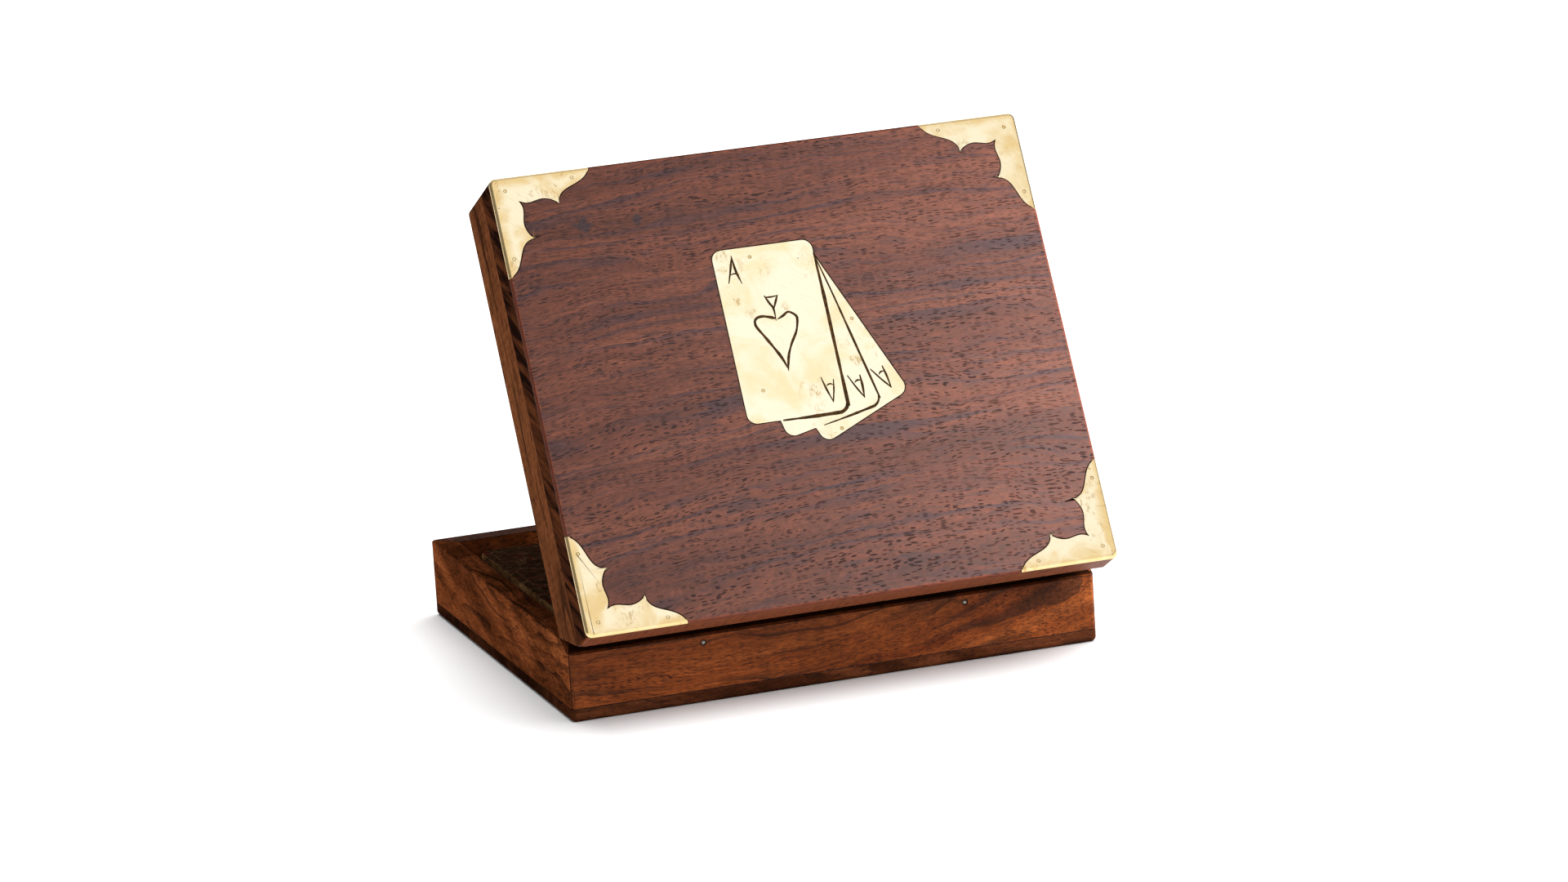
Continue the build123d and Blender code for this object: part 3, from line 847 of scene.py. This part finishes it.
def make_inlay_pins(look, boxes):
    """Small pins with rounded-over heads, filed almost flush."""
    bm = bmesh.new()
    for low, high in boxes:
        centre = (low + high) / 2
        r, top, bottom = (high.x - low.x) / 2 - 0.03 * MM, high.z, low.z
        head = [(0, top - 0.01 * MM), (0.55 * r, top - 0.015 * MM), (0.86 * r, top - 0.04 * MM)]
        shank = [(r, top - 0.12 * MM), (r, bottom + 0.4 * MM), (0.5 * r, bottom + 0.02 * MM), (0, bottom)]
        lathe(bm, Matrix.Translation((centre.x, centre.y, 0)), head + shank, 16)
    bm.transform(AJAR)
    settle(new_object("inlay_pin_heads", bm, look), "lid", "inlay_pins")


# ---------------------------------------------------------------- hinges, screws, brads

def make_screws(name, node, body, matrix, outward, look, slot_look, seed):
    """Countersunk slotted screws, each turned as it was left. outward is 1 or -1, the way the heads face."""
    slot_size = Matrix.Diagonal((4 * MM, 0.42 * MM, 0.8 * MM, 1))
    rng = random.Random(seed)
    bm, slots = bmesh.new(), bmesh.new()
    for low, high in island_boxes(node, matrix):
        centre = (low + high) / 2
        head = Vector((centre.x, centre.y, high.z if outward > 0 else low.z))
        upright = Matrix.Translation(head) @ Matrix.Diagonal((1, 1, outward, 1))
        radius, length = (high.x - low.x) / 2 - 0.02 * MM, high.z - low.z
        shank = radius * 0.5
        profile = [(0, -0.02 * MM), (0.8 * radius, -0.03 * MM), (radius, -0.10 * MM),
                   (shank, -(radius - shank) - 0.1 * MM), (shank, -length + 1.4 * MM),
                   (0.12 * MM, -length + 0.05 * MM), (0, -length)]
        lathe(bm, upright, profile, 24)
        spin = upright @ Matrix.Rotation(rng.uniform(0, math.pi), 4, "Z")
        box = bmesh.ops.create_cube(slots, size=1.0)["verts"]
        bmesh.ops.transform(slots, verts=box, matrix=spin @ slot_size)
    bmesh.ops.recalc_face_normals(slots, faces=slots.faces)
    piece = new_object(name, bm, look)
    cut(piece, new_object("slots", slots, slot_look))
    piece.data.transform(matrix.inverted())
    settle(piece, body, node)


def make_brads(look):
    """Small domed heads, each in its dark hole in the rail."""
    facing_out = Matrix.Rotation(math.radians(90), 4, "X")
    bm = bmesh.new()
    for low, high in island_boxes("hinge_rail_brads"):
        centre = (low + high) / 2
        r, length = (high.z - low.z) / 2 - 0.12 * MM, high.y - low.y
        head = [(0, 0.0), (0.45 * r, -0.03 * MM), (0.8 * r, -0.14 * MM), (r, -0.34 * MM), (r, -0.8 * MM)]
        shank = [(0.7 * r, -1.1 * MM), (0.7 * r, -length + 1.2 * MM), (0, -length)]
        lathe(bm, Matrix.Translation((centre.x, low.y, centre.z)) @ facing_out, head + shank, 20)
    settle(new_object("rail_brad_heads", bm, look), "base", "hinge_rail_brads")


# ---------------------------------------------------------------- felt and cards

FELT_GAP = 0.25 * MM  # left round a sheet in its recess
FELT_CELL = 1.6 * MM
FELT_DIP, FELT_BUMP = 0.14 * MM, 0.07 * MM  # how far its face lies inside the CAD lining, and its unevenness
EDGE_STEPS = (0.0, 0.15 * MM, 0.55 * MM)
EDGE_ROUND, EDGE_DROP = 0.6 * MM, 0.45 * MM


def felt_steps(length):
    """Places along a side: even steps, with two close ones at each end, where the edge rounds off."""
    count = max(6, round(length / FELT_CELL))
    first = EDGE_STEPS[-1]
    even = [first + (length - 2 * first) * (i - 2) / (count - 4) for i in range(3, count - 2)]
    return [*EDGE_STEPS, *even, *(length - step for step in reversed(EDGE_STEPS))]


def make_felt(node, body, matrix, facing, look):
    """A glued-down felt sheet: its open face is gently uneven and its edges are rounded off. facing is 1 or
    -1, the way the open face looks."""
    low, high = extent([matrix @ v.co for v in frame["nodes"][node].data.vertices])
    open_z, glued_z = (high.z, low.z) if facing > 0 else (low.z, high.z)
    size = (high.x - low.x - 2 * FELT_GAP, high.y - low.y - 2 * FELT_GAP)
    bm = bmesh.new()
    rows = []
    for x in felt_steps(size[0]):
        row = []
        for y in felt_steps(size[1]):
            edge = min(x, y, size[0] - x, size[1] - y)
            drop = EDGE_DROP * max(0.0, 1 - edge / EDGE_ROUND) ** 2
            place = Vector((low.x + FELT_GAP + x, low.y + FELT_GAP + y, 0))
            bumps = (noise.noise(place * 220) + noise.noise(place * 55)) * FELT_BUMP
            row.append(bm.verts.new((place.x, place.y, open_z - facing * (FELT_DIP + drop - bumps))))
        rows.append(row)
    for a, b in zip(rows, rows[1:]):
        for k in range(len(a) - 1):
            bm.faces.new((a[k], b[k], b[k + 1], a[k + 1]))
    rim = [e for e in bm.edges if len(e.link_faces) == 1]
    skirt = bmesh.ops.extrude_edge_only(bm, edges=rim)["geom"]
    for v in (g for g in skirt if isinstance(g, bmesh.types.BMVert)):
        v.co.z = glued_z
    bmesh.ops.contextual_create(bm, geom=[g for g in skirt if isinstance(g, bmesh.types.BMEdge)])
    bmesh.ops.recalc_face_normals(bm, faces=bm.faces)
    bm.transform(matrix.inverted())
    for face in bm.faces:
        face.smooth = len(face.verts) == 4
    piece = new_object(node + "_felt", bm, look)
    settle(piece, body, node)


CARDS, BOWED = 54, 6  # the cards in the deck, and how many of the top ones bow
BOW = 0.22 * MM
DRIFT, SLIP, DRIFT_KEPT = 0.10, 0.13, 0.86  # millimetres by which cards stray, and the share passed on
TURN = 0.12  # degrees
CARD_CORNER, CARD_PER_CORNER = 3.5 * MM, 6
SLACK = 0.35 * MM  # by which a card is smaller than the deck's box at each side
FILL = 0.97  # the share of its place in the stack that a card fills
# A card's section, from its underside round its edge and in over its face: millimetres in, share of height.
CARD_SECTION = ((0.35, 0.0), (0.05, 0.06), (0.0, 0.5), (0.05, 0.9), (0.35, 0.97), (6.0, 0.97), (17.0, 0.97))
FACE_FROM = 3  # the step of the section from which the top card shows its printed back


def rounded_outline(half_x, half_y, radius):
    points = []
    for quarter, (sx, sy) in enumerate(((1, 1), (-1, 1), (-1, -1), (1, -1))):
        for i in range(CARD_PER_CORNER + 1):
            a = math.radians(90 * (quarter + i / CARD_PER_CORNER))
            x, y = radius * math.cos(a), radius * math.sin(a)
            points.append(Vector((sx * (half_x - radius) + x, sy * (half_y - radius) + y, 0)))
    return points


def scatter(rng, spread):
    return Vector((rng.gauss(0, spread), rng.gauss(0, spread), 0)) * MM


def card_ring(outline, inset, centre, half, height, bow, spin, slip, floor):
    """One ring of a card: the outline drawn in by inset, bowed, turned and slid, never below the floor."""
    ring = []
    for p in outline:
        q = Vector((p.x * (1 - inset * MM / half.x), p.y * (1 - inset * MM / half.y), 0))
        sag = bow * ((q.y / half.y) ** 2 - 1)
        place = spin @ q + slip
        ring.append(Vector((centre.x + place.x, centre.y + place.y, max(height + sag, floor))))
    return ring


def make_deck(edge_look, back_look, low, high):
    """A worn deck squared up by hand: each card sits a little off the one below, and the top ones bow."""
    centre, half = (low + high) / 2, (high - low) / 2
    pitch = (high.z - low.z) / CARDS
    outline = rounded_outline(half.x - SLACK, half.y - SLACK, CARD_CORNER)
    rng = random.Random(5)
    bm = bmesh.new()
    drift = Vector((0, 0, 0))
    for n in range(CARDS):
        drift = drift * DRIFT_KEPT + scatter(rng, DRIFT)
        slip = drift + scatter(rng, SLIP)
        spin = Matrix.Rotation(math.radians(rng.gauss(0, TURN)), 4, "Z")
        bow = max(0.0, (n - CARDS + BOWED + 1) / BOWED) * BOW
        rings = []
        for inset, share in CARD_SECTION:
            height = low.z + n * pitch + share * pitch * FILL
            ring = card_ring(outline, inset, centre, half, height, bow, spin, slip, low.z)
            rings.append([bm.verts.new(p) for p in ring])
        back = 1 if n == CARDS - 1 else 0
        count = len(outline)
        for step, (a, b) in enumerate(zip(rings, rings[1:])):
            for k in range(count):
                face = bm.faces.new((a[k], a[(k + 1) % count], b[(k + 1) % count], b[k]))
                face.material_index = back if step >= FACE_FROM else 0
        bm.faces.new(rings[0][::-1])
        bm.faces.new(rings[-1]).material_index = back
    piece = new_object("card_deck_cards", bm, edge_look, back_look)
    settle(piece, "deck", "card_deck")


# ---------------------------------------------------------------- the object

def make_brasswork():
    """The inlays, the plate and their pins, then the hinges and their screws."""
    pin_boxes = island_boxes("inlay_pins", SHUT)
    pins = [((low + high) / 2).xy for low, high in pin_boxes]
    make_corner_inlays(brass("corner_brass", SHUT, 1.0, CORNER_TONES, 0.32, 0.8, 0.9), pins)
    plate = brass("plate_brass", SHUT, 4.0, PLATE_TONES, 0.30, 0.5, places=PLATE_STAINS)
    make_aces(plate, groove_patina(), pins)
    make_inlay_pins(brass("pin_brass", SHUT, 7.0, PIN_TONES, 0.36), pin_boxes)
    hinge = brass("hinge_brass", STILL, 9.0, HINGE_TONES, 0.42)
    for side in ("left", "right"):
        for part in ("_hinge_base_leaf", "_hinge_lid_leaf", "_hinge_pin"):
            crisp(dress(side + part, hinge), 0.06 * MM, segments=1)
    slot_dark = steel("slot_dark", (0.02, 0.013, 0.008), (0.08, 0.05, 0.025))
    make_screws("base_hinge_screw_heads", "base_hinge_screws", "base", STILL, 1, hinge, slot_dark, 21)
    make_screws("lid_hinge_screw_heads", "lid_hinge_screws", "lid", SHUT, -1, hinge, slot_dark, 22)


def make_linings():
    felt = felt_look()
    for side in ("left_well", "right_well", "dice_channel"):
        make_felt(side + "_lining", "base", STILL, 1, felt)
    make_felt("lid_lining", "lid", SHUT, -1, felt)


make_camera()
make_world()
make_lamps()
make_floor()
dress_wood()
make_brasswork()
make_brads(steel("brad_steel", (0.10, 0.085, 0.075), (0.36, 0.32, 0.29)))
make_linings()
deck_low, deck_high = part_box("card_deck")
deck_back = card_back_look((deck_low + deck_high) / 2, (deck_high - deck_low) / 2)
make_deck(card_edge_look(), deck_back, deck_low, deck_high)
